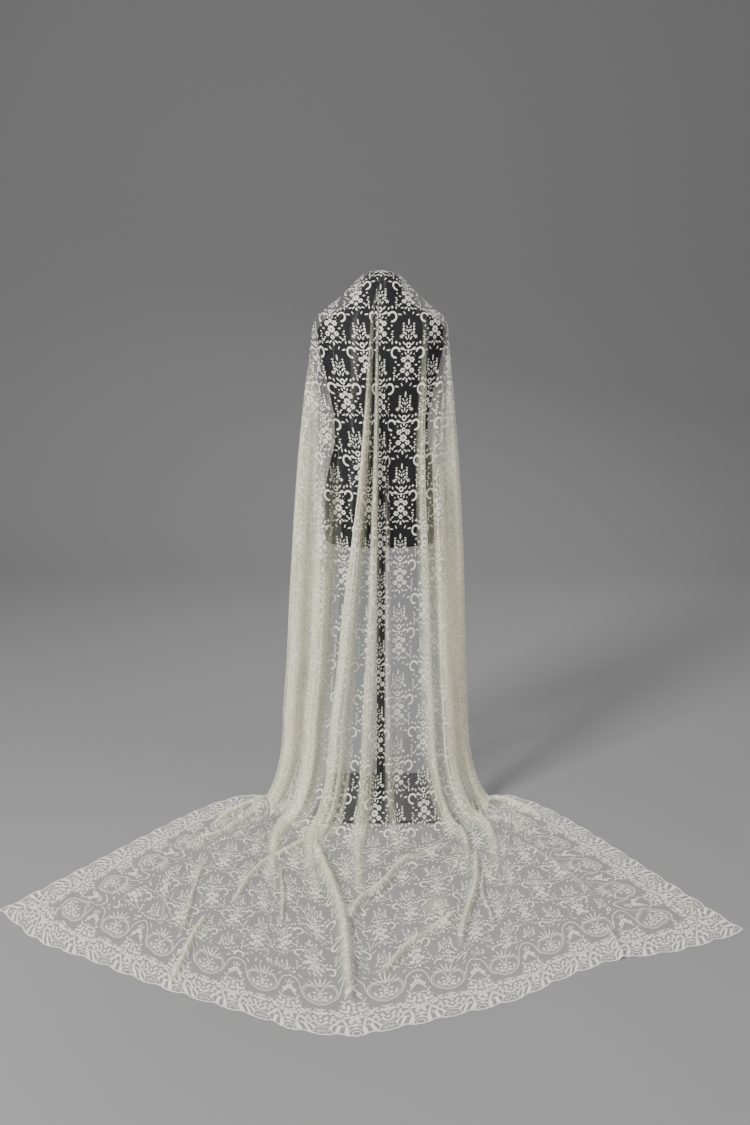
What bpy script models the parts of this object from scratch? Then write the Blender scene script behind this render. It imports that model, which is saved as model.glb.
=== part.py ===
"""Lace bridal veil draped over a limbless dress form on a stand.

Metres, +Z up. The floor is z = 0 and the centre of the base plate stands at the origin.
The back of the form, which carries the train, faces -Y.
"""
import math

import bmesh
import bpy
import numpy as np

# Stand
PLATE_SIDE = 0.360
PLATE_THICKNESS = 0.008
PLATE_EDGE_ROUND = 0.0015
POLE_RADIUS = 0.0125
POLE_SEGMENTS = 24
SEAM = 0.0003

# Form: height, half width, half depth, centre y of each section
FORM_UNDERSIDE = 0.822
FORM_SIDES = 32
FORM_SECTIONS = (
    (0.822, 0.162, 0.108, 0.000),
    (0.832, 0.167, 0.113, 0.000),
    (0.890, 0.171, 0.117, -0.002),
    (0.960, 0.170, 0.114, -0.003),
    (1.040, 0.152, 0.101, 0.000),
    (1.120, 0.134, 0.090, 0.004),
    (1.190, 0.136, 0.092, 0.006),
    (1.270, 0.152, 0.102, 0.008),
    (1.340, 0.168, 0.103, 0.004),
    (1.400, 0.180, 0.090, -0.002),
    (1.435, 0.182, 0.074, -0.006),
    (1.458, 0.168, 0.064, -0.006),
    (1.475, 0.142, 0.058, -0.004),
    (1.492, 0.112, 0.054, -0.002),
    (1.510, 0.085, 0.051, 0.000),
    (1.532, 0.060, 0.050, 0.000),
)
FORM_NECK_TOP = 1.532
CAP_HALF_WIDTH = 0.058
CAP_HALF_DEPTH = 0.050
CAP_WALL_HEIGHT = 0.020
CAP_TOP = 1.600
CAP_RINGS = 6

# Cloth
CLOTH_WALL = 0.0012
SEAM_TOP = 1.440
TURN_HEIGHT = 0.300
TURN_REACH = 0.125
SIDE_EDGE = 92.0
SEAM_TURN = 0.11
CUT_SEAM = 0.0005
FOOT_SEAM = 0.0007
FLOOR_SEAM = 0.0028
LEAST_TURN = 1.2
LEAST_HEM = 0.005

# Base loop of the veil: height, centre x, half width, half depth behind, half depth in front
LOOP = np.array((
    (0.000, -0.010, 0.236, 0.178, 0.180),
    (0.300, -0.009, 0.224, 0.168, 0.176),
    (0.450, -0.007, 0.214, 0.162, 0.172),
    (0.620, -0.005, 0.206, 0.156, 0.166),
    (0.820, -0.003, 0.200, 0.148, 0.158),
    (1.050, -0.003, 0.194, 0.140, 0.146),
    (1.250, -0.003, 0.191, 0.133, 0.136),
    (1.380, -0.003, 0.191, 0.122, 0.124),
    (1.440, -0.003, 0.190, 0.110, 0.108),
    (1.465, -0.003, 0.184, 0.102, 0.100),
    (1.490, -0.003, 0.158, 0.093, 0.092),
    (1.520, -0.003, 0.122, 0.082, 0.082),
    (1.550, -0.002, 0.090, 0.071, 0.071),
    (1.573, -0.001, 0.068, 0.061, 0.061),
    (1.588, 0.000, 0.050, 0.047, 0.047),
    (1.5970, 0.000, 0.029, 0.027, 0.027),
    (1.5990, 0.000, 0.015, 0.014, 0.014),
))

# Hem line of the train on the floor, left corner to right corner
HEM_LINE = np.array((
    (-0.973, -0.692),
    (-0.850, -0.826),
    (-0.699, -0.915),
    (-0.551, -1.007),
    (-0.455, -1.059),
    (-0.286, -1.142),
    (-0.169, -1.199),
    (-0.077, -1.213),
    (0.037, -1.182),
    (0.151, -1.142),
    (0.297, -1.082),
    (0.438, -0.983),
    (0.567, -0.911),
    (0.707, -0.876),
    (0.832, -0.822),
    (0.894, -0.794),
))

# The train ends inside the hem line, and the scalloped border runs from there out to the line
HEM_CENTRE = np.array((-0.03, -0.30))
TRAIN_SHARE = 0.976
HEM = HEM_CENTRE + (HEM_LINE - HEM_CENTRE) * TRAIN_SHARE
BORDER_SEAM = 0.0004
BORDER_LEAST = 0.012
BORDER_STEP = 0.020
BORDER_EASE = 0.12
SCALLOP_PITCH = 0.076
SCALLOP_DEPTH = 0.012
MITER_LEAST = 0.7

# Fold heights over the drop: height above floor, share of the full fold
GROW_HEIGHT = (0.00, 0.13, 0.30, 0.60, 0.82, 1.05, 1.25, 1.38, 1.44)
GROW_SHARE = (0.55, 0.90, 1.00, 1.00, 0.92, 0.75, 0.44, 0.15, 0.00)
FOOT_GROW = 0.50
LEVELS = (0.05, 0.60, 1.05, 1.45)

# Folds of the back fall, left to right, angles from the centre back.
# edge angle left and right at the four LEVELS, then fold height, pinch,
# share of the hem at both edges, ridge height on the floor, length of the ridge
FOLDS = (
    # left edges                  right edges                height pinch hem from, to   ridge  reach
    ((-90.5, -90.5, -90.5, -90.5), (-59.0, -57.0, -57.0, -74.0), 0.070, 1.45, 0.010, 0.400, 0.016, 0.55),
    ((-59.0, -57.0, -57.0, -74.0), (-40.0, -35.0, -33.0, -36.0), 0.060, 1.50, 0.405, 0.445, 0.018, 0.62),
    ((-40.0, -32.0, -21.0, -14.0), (-21.0, -14.0, -7.50, -5.00), 0.052, 1.55, 0.462, 0.512, 0.026, 0.96),
    ((-15.0, -11.0, -7.50, -5.00), (-3.00, 0.00, 1.00, 0.50), 0.036, 1.45, 0.517, 0.540, 0.018, 0.60),
    ((5.00, 3.50, 3.00, 2.00), (12.0, 10.0, 8.00, 6.00), 0.018, 0.90, 0.560, 0.585, 0.010, 0.35),
    ((36.0, 33.0, 31.0, 38.0), (46.0, 43.0, 40.0, 46.0), 0.032, 1.30, 0.600, 0.635, 0.022, 0.50),
    ((46.0, 43.0, 41.0, 58.0), (66.0, 64.0, 62.0, 78.0), 0.044, 1.45, 0.640, 0.700, 0.020, 0.55),
    ((66.0, 64.0, 62.0, 78.0), (90.5, 90.5, 90.5, 90.5), 0.054, 1.40, 0.700, 0.990, 0.014, 0.45),
)

# Panels of the back, cut down the flats between folds: name, first and last column station
BACK_PANELS = (
    ("left", 0.0, 4.5),
    ("centre", 4.5, 10.5),
    ("right", 10.5, 17.0),
)

# Folds of the sides and the front: edge angles, height, pinch
FRONT_FOLDS = (
    (92.5, 116.0, 0.048, 1.30),
    (116.0, 138.0, 0.040, 1.20),
    (142.0, 162.0, 0.030, 1.00),
    (168.0, 192.0, 0.026, 0.80),
    (198.0, 218.0, 0.030, 1.00),
    (222.0, 244.0, 0.040, 1.20),
    (244.0, 267.5, 0.040, 1.30),
)

CROWN_RISE = 0.0002
TOP_ROWS = (1.5990, 1.5970, 1.588, 1.573, 1.550, 1.520, 1.490, 1.465, SEAM_TOP)
FALL_ROWS = (SEAM_TOP - SEAM, 1.395, 1.320, 1.210, 1.070, 0.910, 0.740, 0.560, 0.420)
TURN_ROWS = (0.0, 19.0, 37.0, 53.0, 67.0, 79.0, 90.0)
FLOOR_ROWS = (FLOOR_SEAM, 0.05, 0.12, 0.21, 0.33, 0.46, 0.60, 0.74, 0.88, 1.00)
FRONT_ROWS = (0.0, 0.05, 0.12, 0.22, 0.34, 0.47, 0.61, 0.75, 0.88, 1.00)
FOLD_STEPS = (14, 9, 10, 9, 6, 8, 9, 14)
FRONT_STEPS = 6
TOP_COLUMNS = 48

# Front hem: angle from the centre back, height of the hem
FRONT_HEM_ANGLE = (92.0, 104.0, 118.0, 136.0, 158.0, 180.0, 202.0, 224.0, 242.0, 256.0, 268.0)
FRONT_HEM_HEIGHT = (0.550, 0.390, 0.450, 0.640, 0.830, 0.880, 0.830, 0.640, 0.450, 0.400, 0.550)


def new_collection(name):
    """Return a fresh collection linked to the scene."""
    group = bpy.data.collections.new(name)
    bpy.context.scene.collection.children.link(group)
    return group


def new_material(name, colour, metallic, roughness):
    """Return a plain Principled material."""
    material = bpy.data.materials.new(name)
    material.use_nodes = True
    shader = material.node_tree.nodes["Principled BSDF"]
    shader.inputs["Base Color"].default_value = (*colour, 1.0)
    shader.inputs["Metallic"].default_value = metallic
    shader.inputs["Roughness"].default_value = roughness
    return material


def add_object(name, mesh, material, group, smooth):
    """Link a mesh as an object with its material and shading."""
    mesh.materials.append(material)
    if smooth:
        mesh.shade_smooth()
    thing = bpy.data.objects.new(name, mesh)
    group.objects.link(thing)
    return thing


def loop_size(height):
    """Centre x, half width, half depth behind and in front of the veil at a height."""
    return tuple(np.interp(height, LOOP[:, 0], LOOP[:, column]) for column in (1, 2, 3, 4))


def loop_point(degrees, height):
    """Plan position on the base loop; 0 degrees is the centre back."""
    centre, wide, behind, front = loop_size(height)
    turn = np.radians(degrees)
    depth = np.where(np.cos(turn) >= 0, behind, front)
    return np.stack((centre + wide * np.sin(turn), -depth * np.cos(turn)), -1)


def hem_point(share):
    """Plan position on the train's hem at a share of its length."""
    steps = np.linalg.norm(np.diff(HEM, axis=0), axis=1)
    run = np.concatenate(((0.0,), np.cumsum(steps)))
    run /= run[-1]
    return np.stack([np.interp(share, run, HEM[:, axis]) for axis in (0, 1)], -1)


def back_columns():
    """Column stations of the back fall: one unit for each fold and each flat between folds."""
    stations = [0.0]
    for index in range(len(FOLDS)):
        start = 2 * index + 1
        stations.append(float(start))
        stations.extend(start + step / FOLD_STEPS[index] for step in range(1, FOLD_STEPS[index]))
        stations.append(float(start + 1))
        gap = gap_width(index)
        count = max(1, round(gap / 8.0))
        stations.extend(start + 1 + step / count for step in range(1, count))
    stations.append(float(2 * len(FOLDS) + 1))
    stations.extend(first for _, first, _ in BACK_PANELS)
    return np.unique(np.round(stations, 6))


def gap_width(index):
    """Angle between a fold and its right neighbour low on the fall."""
    if index + 1 >= len(FOLDS):
        return 1.0
    return FOLDS[index + 1][0][0] - FOLDS[index][1][0]


def spread_out(knots, least):
    """Push knots apart from the middle outward so that none lie closer than the least step."""
    knots = list(knots)
    middle = len(knots) // 2
    for index in range(middle + 1, len(knots) - 1):
        knots[index] = max(knots[index], knots[index - 1] + least)
    for index in range(middle - 1, 0, -1):
        knots[index] = min(knots[index], knots[index + 1] - least)
    return knots


def column_angle(column, height):
    """Angle on the base loop of a column at a height, from the fold table."""
    knots = [-SIDE_EDGE + SEAM_TURN]
    for fold in FOLDS:
        knots.append(float(np.interp(height, LEVELS, fold[0])))
        knots.append(float(np.interp(height, LEVELS, fold[1])))
    knots.append(SIDE_EDGE - SEAM_TURN)
    return np.interp(column, np.arange(len(knots)), spread_out(knots, LEAST_TURN))


def column_hem(column):
    """Share of the hem that a column runs to."""
    knots = [0.0]
    for fold in FOLDS:
        knots.extend((fold[4], fold[5]))
    knots.append(1.0)
    return np.interp(column, np.arange(len(knots)), spread_out(knots, LEAST_HEM))


def fold_wave(column, floor_share):
    """Shift along the row, and rise off the base sheet, of every column in the fold table.

    floor_share is None on the fall and runs 0 to 1 over the train.
    """
    shift = np.zeros_like(column)
    rise = np.zeros_like(column)
    for index, fold in enumerate(FOLDS):
        inside = np.clip(column - (2 * index + 1), 0.0, 1.0)
        phase = 2 * math.pi * inside
        height, pinch, ridge, reach = fold[2], fold[3], fold[6], fold[7]
        width_power = 1.0
        if floor_share is not None:
            fade = max(0.0, 1.0 - (floor_share / reach) ** 2)
            height = ridge * fade + (height * FOOT_GROW - ridge) * max(0.0, 1.0 - floor_share / 0.16)
            pinch *= max(0.0, 1.0 - floor_share / 0.12) * FOOT_GROW
            spread = (fold[5] - fold[4]) / 0.045
            width_power = 1.0 + max(0.0, spread ** 1.6 - 1.0) * floor_share ** 0.8
        crest = ((1 - np.cos(phase)) / 2) ** width_power
        rise += height * crest
        shift += pinch / (4 * math.pi) * np.sin(2 * phase)
    return shift, rise


def fall_row(column, height):
    """Row of the back fall at a height above the floor turn."""
    grow = float(np.interp(height, GROW_HEIGHT, GROW_SHARE))
    shift, rise = fold_wave(column, None)
    place = column + shift * grow
    angle = column_angle(place, height)
    plan = loop_point(angle, height)
    along = loop_point(angle + 0.5, height) - loop_point(angle - 0.5, height)
    along /= np.linalg.norm(along, axis=1, keepdims=True)
    outward = np.stack((along[:, 1], -along[:, 0]), -1)
    plan = plan + outward * (rise * grow)[:, None]
    return np.column_stack((plan, np.full(len(column), height)))


def panel_row(columns, first, last, row):
    """Row of one panel of the back, with its cut edges held apart by the seam."""
    own = columns[(columns >= first) & (columns <= last)]
    step = 0.01
    for end, cut, side in ((0, first, 1.0), (-1, last, -1.0)):
        if 0.0 < cut < columns[-1]:
            near = row(np.array((cut - step, cut + step)))
            own[end] += side * CUT_SEAM * step / np.linalg.norm(near[1] - near[0])
    return row(own)


def foot_direction(angle):
    """Plan direction in which a column leaves the stand at the floor."""
    turn = np.radians(angle)
    return np.stack((np.sin(turn), -np.cos(turn)), -1)


def turn_row(column, degrees):
    """Row in the hollow quarter turn between the fall and the floor."""
    share = degrees / 90.0
    top_grow = float(np.interp(TURN_HEIGHT, GROW_HEIGHT, GROW_SHARE))
    grow = top_grow + (FOOT_GROW - top_grow) * share ** 2
    shift, rise = fold_wave(column, None)
    place = column + shift * grow
    angle = column_angle(place, TURN_HEIGHT * (1 - share))
    bend = math.radians(degrees)
    away = foot_direction(angle)
    plan = loop_point(angle, TURN_HEIGHT) + away * TURN_REACH * (1 - math.cos(bend))
    height = TURN_HEIGHT * (1 - math.sin(bend))
    base = np.column_stack((plan, np.full(len(column), height)))
    flat, steep = math.sin(bend) * TURN_REACH, math.cos(bend) * TURN_HEIGHT
    size = math.hypot(flat, steep)
    up = np.column_stack((away * steep / size, np.full(len(column), flat / size)))
    return base + up * (rise * grow)[:, None]


def floor_row(column, share):
    """Row of the train, from the foot of the fall (0) to the hem (1)."""
    shift, rise = fold_wave(column, share)
    place = column + shift
    angle = column_angle(place, 0.0)
    away = foot_direction(angle)
    foot = loop_point(angle, TURN_HEIGHT) + away * TURN_REACH
    hem = hem_point(column_hem(place))
    side = np.abs(angle) / SIDE_EDGE
    first = foot + away * (0.10 + 0.07 * side ** 4)[:, None]
    second = hem + (foot - hem) * (0.42 + 0.18 * side ** 4)[:, None] + away * (0.06 * side ** 4)[:, None]
    left = 1 - share
    plan = left ** 3 * foot + 3 * left ** 2 * share * first + 3 * left * share ** 2 * second
    plan = plan + share ** 3 * hem
    return np.column_stack((plan, rise))


def border_line(train):
    """Edge of the train in short steps, from the left foot round the hem to the right foot."""
    corners = [row[0] for row in train[1:-1]]
    corners.extend(train[-1])
    corners.extend(row[-1] for row in train[-2:0:-1])
    corners = np.array(corners)[:, :2]
    line = [corners[0]]
    for start, end in zip(corners, corners[1:]):
        count = max(1, math.ceil(np.linalg.norm(end - start) / BORDER_STEP))
        line.extend(start + (end - start) * step / count for step in range(1, count + 1))
    return np.array(line)


def border_rows(train):
    """Inner edge and scalloped outer edge of the border."""
    line = border_line(train)
    steps = np.diff(line, axis=0)
    lengths = np.linalg.norm(steps, axis=1, keepdims=True)
    out = np.column_stack((steps[:, 1], -steps[:, 0])) / lengths
    before = np.vstack((out[:1], out))
    after = np.vstack((out, out[-1:]))
    mean = (before + after) / 2
    size = np.linalg.norm(mean, axis=1, keepdims=True)
    outward = mean / size / np.maximum(size, MITER_LEAST)
    run = np.concatenate(((0.0,), np.cumsum(lengths)))
    ease = np.clip(np.minimum(run, run[-1] - run) / BORDER_EASE, 0.2, 1.0)
    wave = np.abs(np.sin(math.pi * (run - run[-1] / 2) / SCALLOP_PITCH)) ** 0.7
    reach = (BORDER_LEAST + SCALLOP_DEPTH * wave) * ease
    level = np.zeros(len(line))
    inner = np.column_stack((line + outward * BORDER_SEAM, level))
    outer = np.column_stack((line + outward * reach[:, None], level))
    return [inner, outer]


def front_wave(angle):
    """Shift and rise of the side and front folds."""
    shift = np.zeros_like(angle)
    rise = np.zeros_like(angle)
    for start, end, height, pinch in FRONT_FOLDS:
        phase = 2 * math.pi * np.clip((angle - start) / (end - start), 0.0, 1.0)
        rise += height * (1 - np.cos(phase)) / 2
        shift += pinch * (end - start) / (4 * math.pi) * np.sin(2 * phase)
    return shift, rise


def front_row(angle, share):
    """Row of the front fall, from its top seam (0) down to its own hem (1)."""
    hem = np.interp(angle, FRONT_HEM_ANGLE, FRONT_HEM_HEIGHT)
    top = SEAM_TOP - SEAM
    height = top + (hem - top) * share
    shift, rise = front_wave(angle)
    grow = np.interp(height, GROW_HEIGHT, GROW_SHARE)
    place = angle + shift * grow
    rows = [loop_point(place + offset, height) for offset in (-0.5, 0.0, 0.5)]
    along = rows[2] - rows[0]
    along /= np.linalg.norm(along, axis=1, keepdims=True)
    outward = np.stack((along[:, 1], -along[:, 0]), -1)
    plan = rows[1] + outward * (rise * grow)[:, None]
    return np.column_stack((plan, height))


def front_columns():
    """Angles of the front fall's columns."""
    edges = [SIDE_EDGE + SEAM_TURN]
    for start, end, _, _ in FRONT_FOLDS:
        edges.extend(start + (end - start) * step / FRONT_STEPS for step in range(FRONT_STEPS + 1))
    edges.append(360.0 - SIDE_EDGE - SEAM_TURN)
    return np.unique(np.round(edges, 4))


def top_row(height):
    """Closed row of the veil's top, smooth all round."""
    angles = np.linspace(0.0, 360.0, TOP_COLUMNS, endpoint=False)
    return np.column_stack((loop_point(angles, height), np.full(TOP_COLUMNS, height)))


def sheet_mesh(name, rows, closed, capped):
    """Mesh of a sheet from its rows of points, with the visible side outward."""
    mesh = bpy.data.meshes.new(name)
    work = bmesh.new()
    grid = [[work.verts.new(point) for point in row] for row in rows]
    count = len(grid[0])
    last = count if closed else count - 1
    for upper, lower in zip(grid, grid[1:]):
        for index in range(last):
            after = (index + 1) % count
            work.faces.new((upper[index], lower[index], lower[after], upper[after]))
    if capped:
        centre = work.verts.new((0.0, 0.0, rows[0][0][2] + CROWN_RISE))
        for index in range(count):
            work.faces.new((centre, grid[0][index], grid[0][(index + 1) % count]))
    work.to_mesh(mesh)
    work.free()
    return mesh


def add_sheet(name, rows, material, group, closed=False, capped=False):
    """Add a cloth panel with an even wall, grown toward its outer side."""
    mesh = sheet_mesh(name, rows, closed, capped)
    thing = add_object(name, mesh, material, group, True)
    wall = thing.modifiers.new("cloth wall", "SOLIDIFY")
    wall.thickness = CLOTH_WALL
    wall.offset = 1.0
    wall.use_even_offset = False
    return thing


def oval_ring(work, height, wide, deep, centre_y):
    """One ring of the form's loft."""
    ring = []
    for index in range(FORM_SIDES):
        turn = 2 * math.pi * index / FORM_SIDES
        ring.append(work.verts.new((wide * math.cos(turn), centre_y + deep * math.sin(turn), height)))
    return ring


def loft(name, sections):
    """Closed loft through oval sections, bottom to top."""
    mesh = bpy.data.meshes.new(name)
    work = bmesh.new()
    rings = [oval_ring(work, *section) for section in sections]
    for lower, upper in zip(rings, rings[1:]):
        for index in range(FORM_SIDES):
            after = (index + 1) % FORM_SIDES
            work.faces.new((lower[index], lower[after], upper[after], upper[index]))
    work.faces.new(list(reversed(rings[0])))
    work.faces.new(rings[-1])
    work.to_mesh(mesh)
    work.free()
    return mesh


def cap_sections():
    """Sections of the neck cap: a short wall and a flattened dome."""
    base = FORM_NECK_TOP + SEAM
    shoulder = base + CAP_WALL_HEIGHT
    sections = [(base, CAP_HALF_WIDTH, CAP_HALF_DEPTH, 0.0)]
    for step in range(CAP_RINGS):
        lift = math.pi / 2 * step / CAP_RINGS
        size = math.cos(lift)
        height = shoulder + (CAP_TOP - shoulder) * math.sin(lift)
        sections.append((height, CAP_HALF_WIDTH * size, CAP_HALF_DEPTH * size, 0.0))
    return sections


def build_stand(group, materials):
    """Plate, pole, form and neck cap."""
    bpy.ops.mesh.primitive_cube_add(size=1.0, location=(0.0, 0.0, PLATE_THICKNESS / 2))
    plate = bpy.context.object
    plate.name = "base_plate"
    plate.scale = (PLATE_SIDE, PLATE_SIDE, PLATE_THICKNESS)
    bpy.ops.object.transform_apply(location=False, rotation=False, scale=True)
    edge = plate.modifiers.new("edge round", "BEVEL")
    edge.width = PLATE_EDGE_ROUND
    edge.segments = 2
    plate.data.materials.append(materials["stand_black"])

    bottom = PLATE_THICKNESS + SEAM
    top = FORM_UNDERSIDE - SEAM
    bpy.ops.mesh.primitive_cylinder_add(
        vertices=POLE_SEGMENTS, radius=POLE_RADIUS, depth=top - bottom,
        location=(0.0, 0.0, (top + bottom) / 2))
    pole = bpy.context.object
    pole.name = "stand_pole"
    pole.data.shade_smooth()
    pole.data.materials.append(materials["stand_black"])
    for thing in (plate, pole):
        for holder in list(thing.users_collection):
            holder.objects.unlink(thing)
        group.objects.link(thing)

    add_object("form_body", loft("form_body", FORM_SECTIONS), materials["form_cloth"], group, True)
    add_object("form_neck_cap", loft("form_neck_cap", cap_sections()), materials["form_cloth"], group, True)


def build_veil(group, material):
    """The panels of the veil and the border of its train."""
    top = [top_row(height) for height in TOP_ROWS]
    add_sheet("veil_top", top, material, group, closed=True, capped=True)

    columns = back_columns()
    for side, first, last in BACK_PANELS:
        fall = [panel_row(columns, first, last, lambda own, height=height: fall_row(own, height))
                for height in FALL_ROWS]
        foot = [panel_row(columns, first, last, lambda own, bend=bend: turn_row(own, bend))
                for bend in TURN_ROWS]
        fall.append(foot[0] + np.array((0.0, 0.0, FOOT_SEAM)))
        add_sheet(f"veil_{side}_fall", fall, material, group)
        add_sheet(f"veil_{side}_foot", foot, material, group)

    train = [floor_row(columns, share) for share in FLOOR_ROWS]
    add_sheet("veil_train", train, material, group)
    add_sheet("veil_border", border_rows(train), material, group)

    angles = front_columns()
    front = [front_row(angles, share) for share in FRONT_ROWS]
    add_sheet("veil_front_fall", front, material, group)


def main():
    for thing in list(bpy.data.objects):
        bpy.data.objects.remove(thing, do_unlink=True)
    group = new_collection("bridal_veil_on_stand")
    materials = {
        "stand_black": new_material("stand_black", (0.012, 0.012, 0.013), 0.6, 0.45),
        "form_cloth": new_material("form_cloth", (0.016, 0.018, 0.022), 0.0, 0.85),
        "veil_lace": new_material("veil_lace", (0.62, 0.59, 0.51), 0.0, 0.80),
    }
    build_stand(group, materials)
    build_veil(group, materials["veil_lace"])


main()
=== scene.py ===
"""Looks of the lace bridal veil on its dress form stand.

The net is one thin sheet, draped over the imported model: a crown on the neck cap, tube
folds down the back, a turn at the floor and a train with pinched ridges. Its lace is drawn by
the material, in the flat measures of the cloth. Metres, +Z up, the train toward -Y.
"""

import math
from collections import namedtuple

import bmesh
import bpy
import numpy as np
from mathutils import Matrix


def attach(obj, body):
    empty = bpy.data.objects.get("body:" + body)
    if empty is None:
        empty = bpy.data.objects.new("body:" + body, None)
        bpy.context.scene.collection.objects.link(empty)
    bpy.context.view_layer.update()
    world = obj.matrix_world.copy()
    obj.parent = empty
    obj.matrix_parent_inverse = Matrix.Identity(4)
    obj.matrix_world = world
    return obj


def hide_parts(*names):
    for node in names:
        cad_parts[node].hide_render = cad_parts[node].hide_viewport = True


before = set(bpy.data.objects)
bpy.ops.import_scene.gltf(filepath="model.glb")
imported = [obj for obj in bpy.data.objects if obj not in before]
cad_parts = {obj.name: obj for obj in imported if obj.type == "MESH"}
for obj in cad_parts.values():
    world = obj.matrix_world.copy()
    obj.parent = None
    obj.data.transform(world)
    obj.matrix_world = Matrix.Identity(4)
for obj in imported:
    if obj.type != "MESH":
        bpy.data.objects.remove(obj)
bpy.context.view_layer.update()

# Camera, read from the photograph: 750 x 1125, cap 1.60 m up and a 0.36 m square plate
PHOTO_HEIGHT = 1125
FOCAL_PIXELS = 1188.6
SENSOR = 36.0
CAMERA_BACK = 3.450
CAMERA_HEIGHT = 1.549
CAMERA_SIDE = -0.018
CAMERA_DIP = 12.97

# Drape, in the frame of the CAD
SEAM_TOP = 1.440
CROWN = 1.5992
SLIT_TOP = 0.550
SIDE_EDGE = 92.0
TURN_HEIGHT = 0.300
TURN_REACH = 0.125
FOOT_GROW = 0.50
LEAST_TURN = 1.2
LEAST_HEM = 0.005

# Base loop: height, centre x, half width, half depth behind, half depth in front
LOOP = np.array((
    (0.000, -0.010, 0.236, 0.178, 0.180),
    (0.300, -0.009, 0.224, 0.168, 0.176),
    (0.450, -0.007, 0.214, 0.162, 0.172),
    (0.620, -0.005, 0.206, 0.156, 0.166),
    (0.820, -0.003, 0.200, 0.148, 0.158),
    (1.050, -0.003, 0.194, 0.140, 0.146),
    (1.250, -0.003, 0.191, 0.133, 0.136),
    (1.380, -0.003, 0.191, 0.122, 0.124),
    (1.440, -0.003, 0.190, 0.110, 0.108),
    (1.465, -0.003, 0.184, 0.102, 0.100),
    (1.490, -0.003, 0.158, 0.093, 0.092),
    (1.520, -0.003, 0.122, 0.082, 0.082),
    (1.550, -0.002, 0.090, 0.071, 0.071),
    (1.573, -0.001, 0.068, 0.061, 0.061),
    (1.588, 0.000, 0.050, 0.047, 0.047),
    (1.597, 0.000, 0.029, 0.027, 0.027),
    (1.5994, 0.000, 0.010, 0.010, 0.010),
))

# Hem line of the train, left corner to right corner
HEM_LINE = np.array((
    (-0.973, -0.692),
    (-0.850, -0.826),
    (-0.699, -0.915),
    (-0.551, -1.007),
    (-0.455, -1.059),
    (-0.286, -1.142),
    (-0.169, -1.199),
    (-0.077, -1.213),
    (0.037, -1.182),
    (0.151, -1.142),
    (0.297, -1.082),
    (0.438, -0.983),
    (0.567, -0.911),
    (0.707, -0.876),
    (0.832, -0.822),
    (0.894, -0.794),
))
HEM_CENTRE = np.array((-0.03, -0.30))
TRAIN_SHARE = 0.976
HEM = HEM_CENTRE + (HEM_LINE - HEM_CENTRE) * TRAIN_SHARE

# Share of a fold's full height over the drop, and of the two pleats at the centre
GROW_HEIGHT = (0.00, 0.13, 0.30, 0.60, 0.82, 1.05, 1.25, 1.38, 1.44, 1.50, 1.56, 1.60)
GROW_SHARE = (0.55, 0.90, 1.00, 1.00, 0.92, 0.75, 0.44, 0.15, 0.06, 0.03, 0.00, 0.00)
PLEAT_SHARE = (0.55, 0.90, 1.00, 1.00, 0.92, 0.75, 0.50, 0.30, 0.22, 0.15, 0.07, 0.00)
PLEATS = (2, 3)
LEVELS = (0.05, 0.60, 1.05, 1.45)

# Folds of the back, left to right: edge angles at the LEVELS, height, pinch, share of
# the hem from and to, ridge height on the floor, reach of the ridge, columns, how
# gathered the net is, and the height where the gathers set in
Fold = namedtuple("Fold", "starts ends height pinch hem_from hem_to ridge reach columns gather set_in")
FOLDS = tuple(Fold(*row) for row in (
    ((-90.5, -90.5, -90.5, -90.5), (-59.0, -57.0, -57.0, -74.0),
     0.070, 1.45, 0.010, 0.400, 0.016, 0.55, 92, 0.90, 1.42),
    ((-59.0, -57.0, -57.0, -74.0), (-40.0, -35.0, -33.0, -36.0),
     0.060, 1.50, 0.405, 0.445, 0.018, 0.62, 38, 0.88, 1.08),
    ((-40.0, -31.5, -18.0, -8.80), (-21.0, -14.5, -8.20, -5.20),
     0.052, 1.55, 0.462, 0.512, 0.026, 0.55, 40, 0.88, 1.56),
    ((-15.0, -11.0, -6.90, -3.90), (-3.00, 0.00, -0.60, -0.80),
     0.036, 1.45, 0.517, 0.540, 0.018, 0.60, 28, 0.80, 1.60),
    ((5.00, 3.50, 3.00, 2.00), (12.0, 10.0, 8.00, 6.00),
     0.018, 0.90, 0.560, 0.585, 0.010, 0.35, 16, 0.42, 1.05),
    ((36.0, 33.0, 31.0, 38.0), (46.0, 43.0, 40.0, 46.0),
     0.032, 1.30, 0.600, 0.635, 0.022, 0.50, 24, 0.72, 1.50),
    ((46.0, 43.0, 41.0, 58.0), (66.0, 64.0, 62.0, 78.0),
     0.044, 1.45, 0.640, 0.700, 0.020, 0.55, 38, 0.78, 1.30),
    ((66.0, 64.0, 62.0, 78.0), (90.5, 90.5, 90.5, 90.5),
     0.054, 1.40, 0.700, 0.990, 0.014, 0.45, 76, 0.88, 1.42),
))
FLAT_COLUMNS = (2, 2, 3, 3, 16, 2, 2, 2, 2)

# Folds of the sides and the front: edge angles, height, pinch
FRONT_FOLDS = (
    (92.5, 116.0, 0.048, 1.30),
    (116.0, 138.0, 0.040, 1.20),
    (142.0, 162.0, 0.030, 1.00),
    (168.0, 192.0, 0.026, 0.80),
    (198.0, 218.0, 0.030, 1.00),
    (222.0, 244.0, 0.040, 1.20),
    (244.0, 267.5, 0.040, 1.30),
)
FRONT_COLUMNS = 150
FRONT_HEM_ANGLE = (92.0, 104.0, 118.0, 136.0, 158.0, 180.0, 202.0, 224.0, 242.0, 256.0, 268.0)
FRONT_HEM_HEIGHT = (0.550, 0.390, 0.450, 0.640, 0.830, 0.880, 0.830, 0.640, 0.450, 0.400, 0.550)

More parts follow.
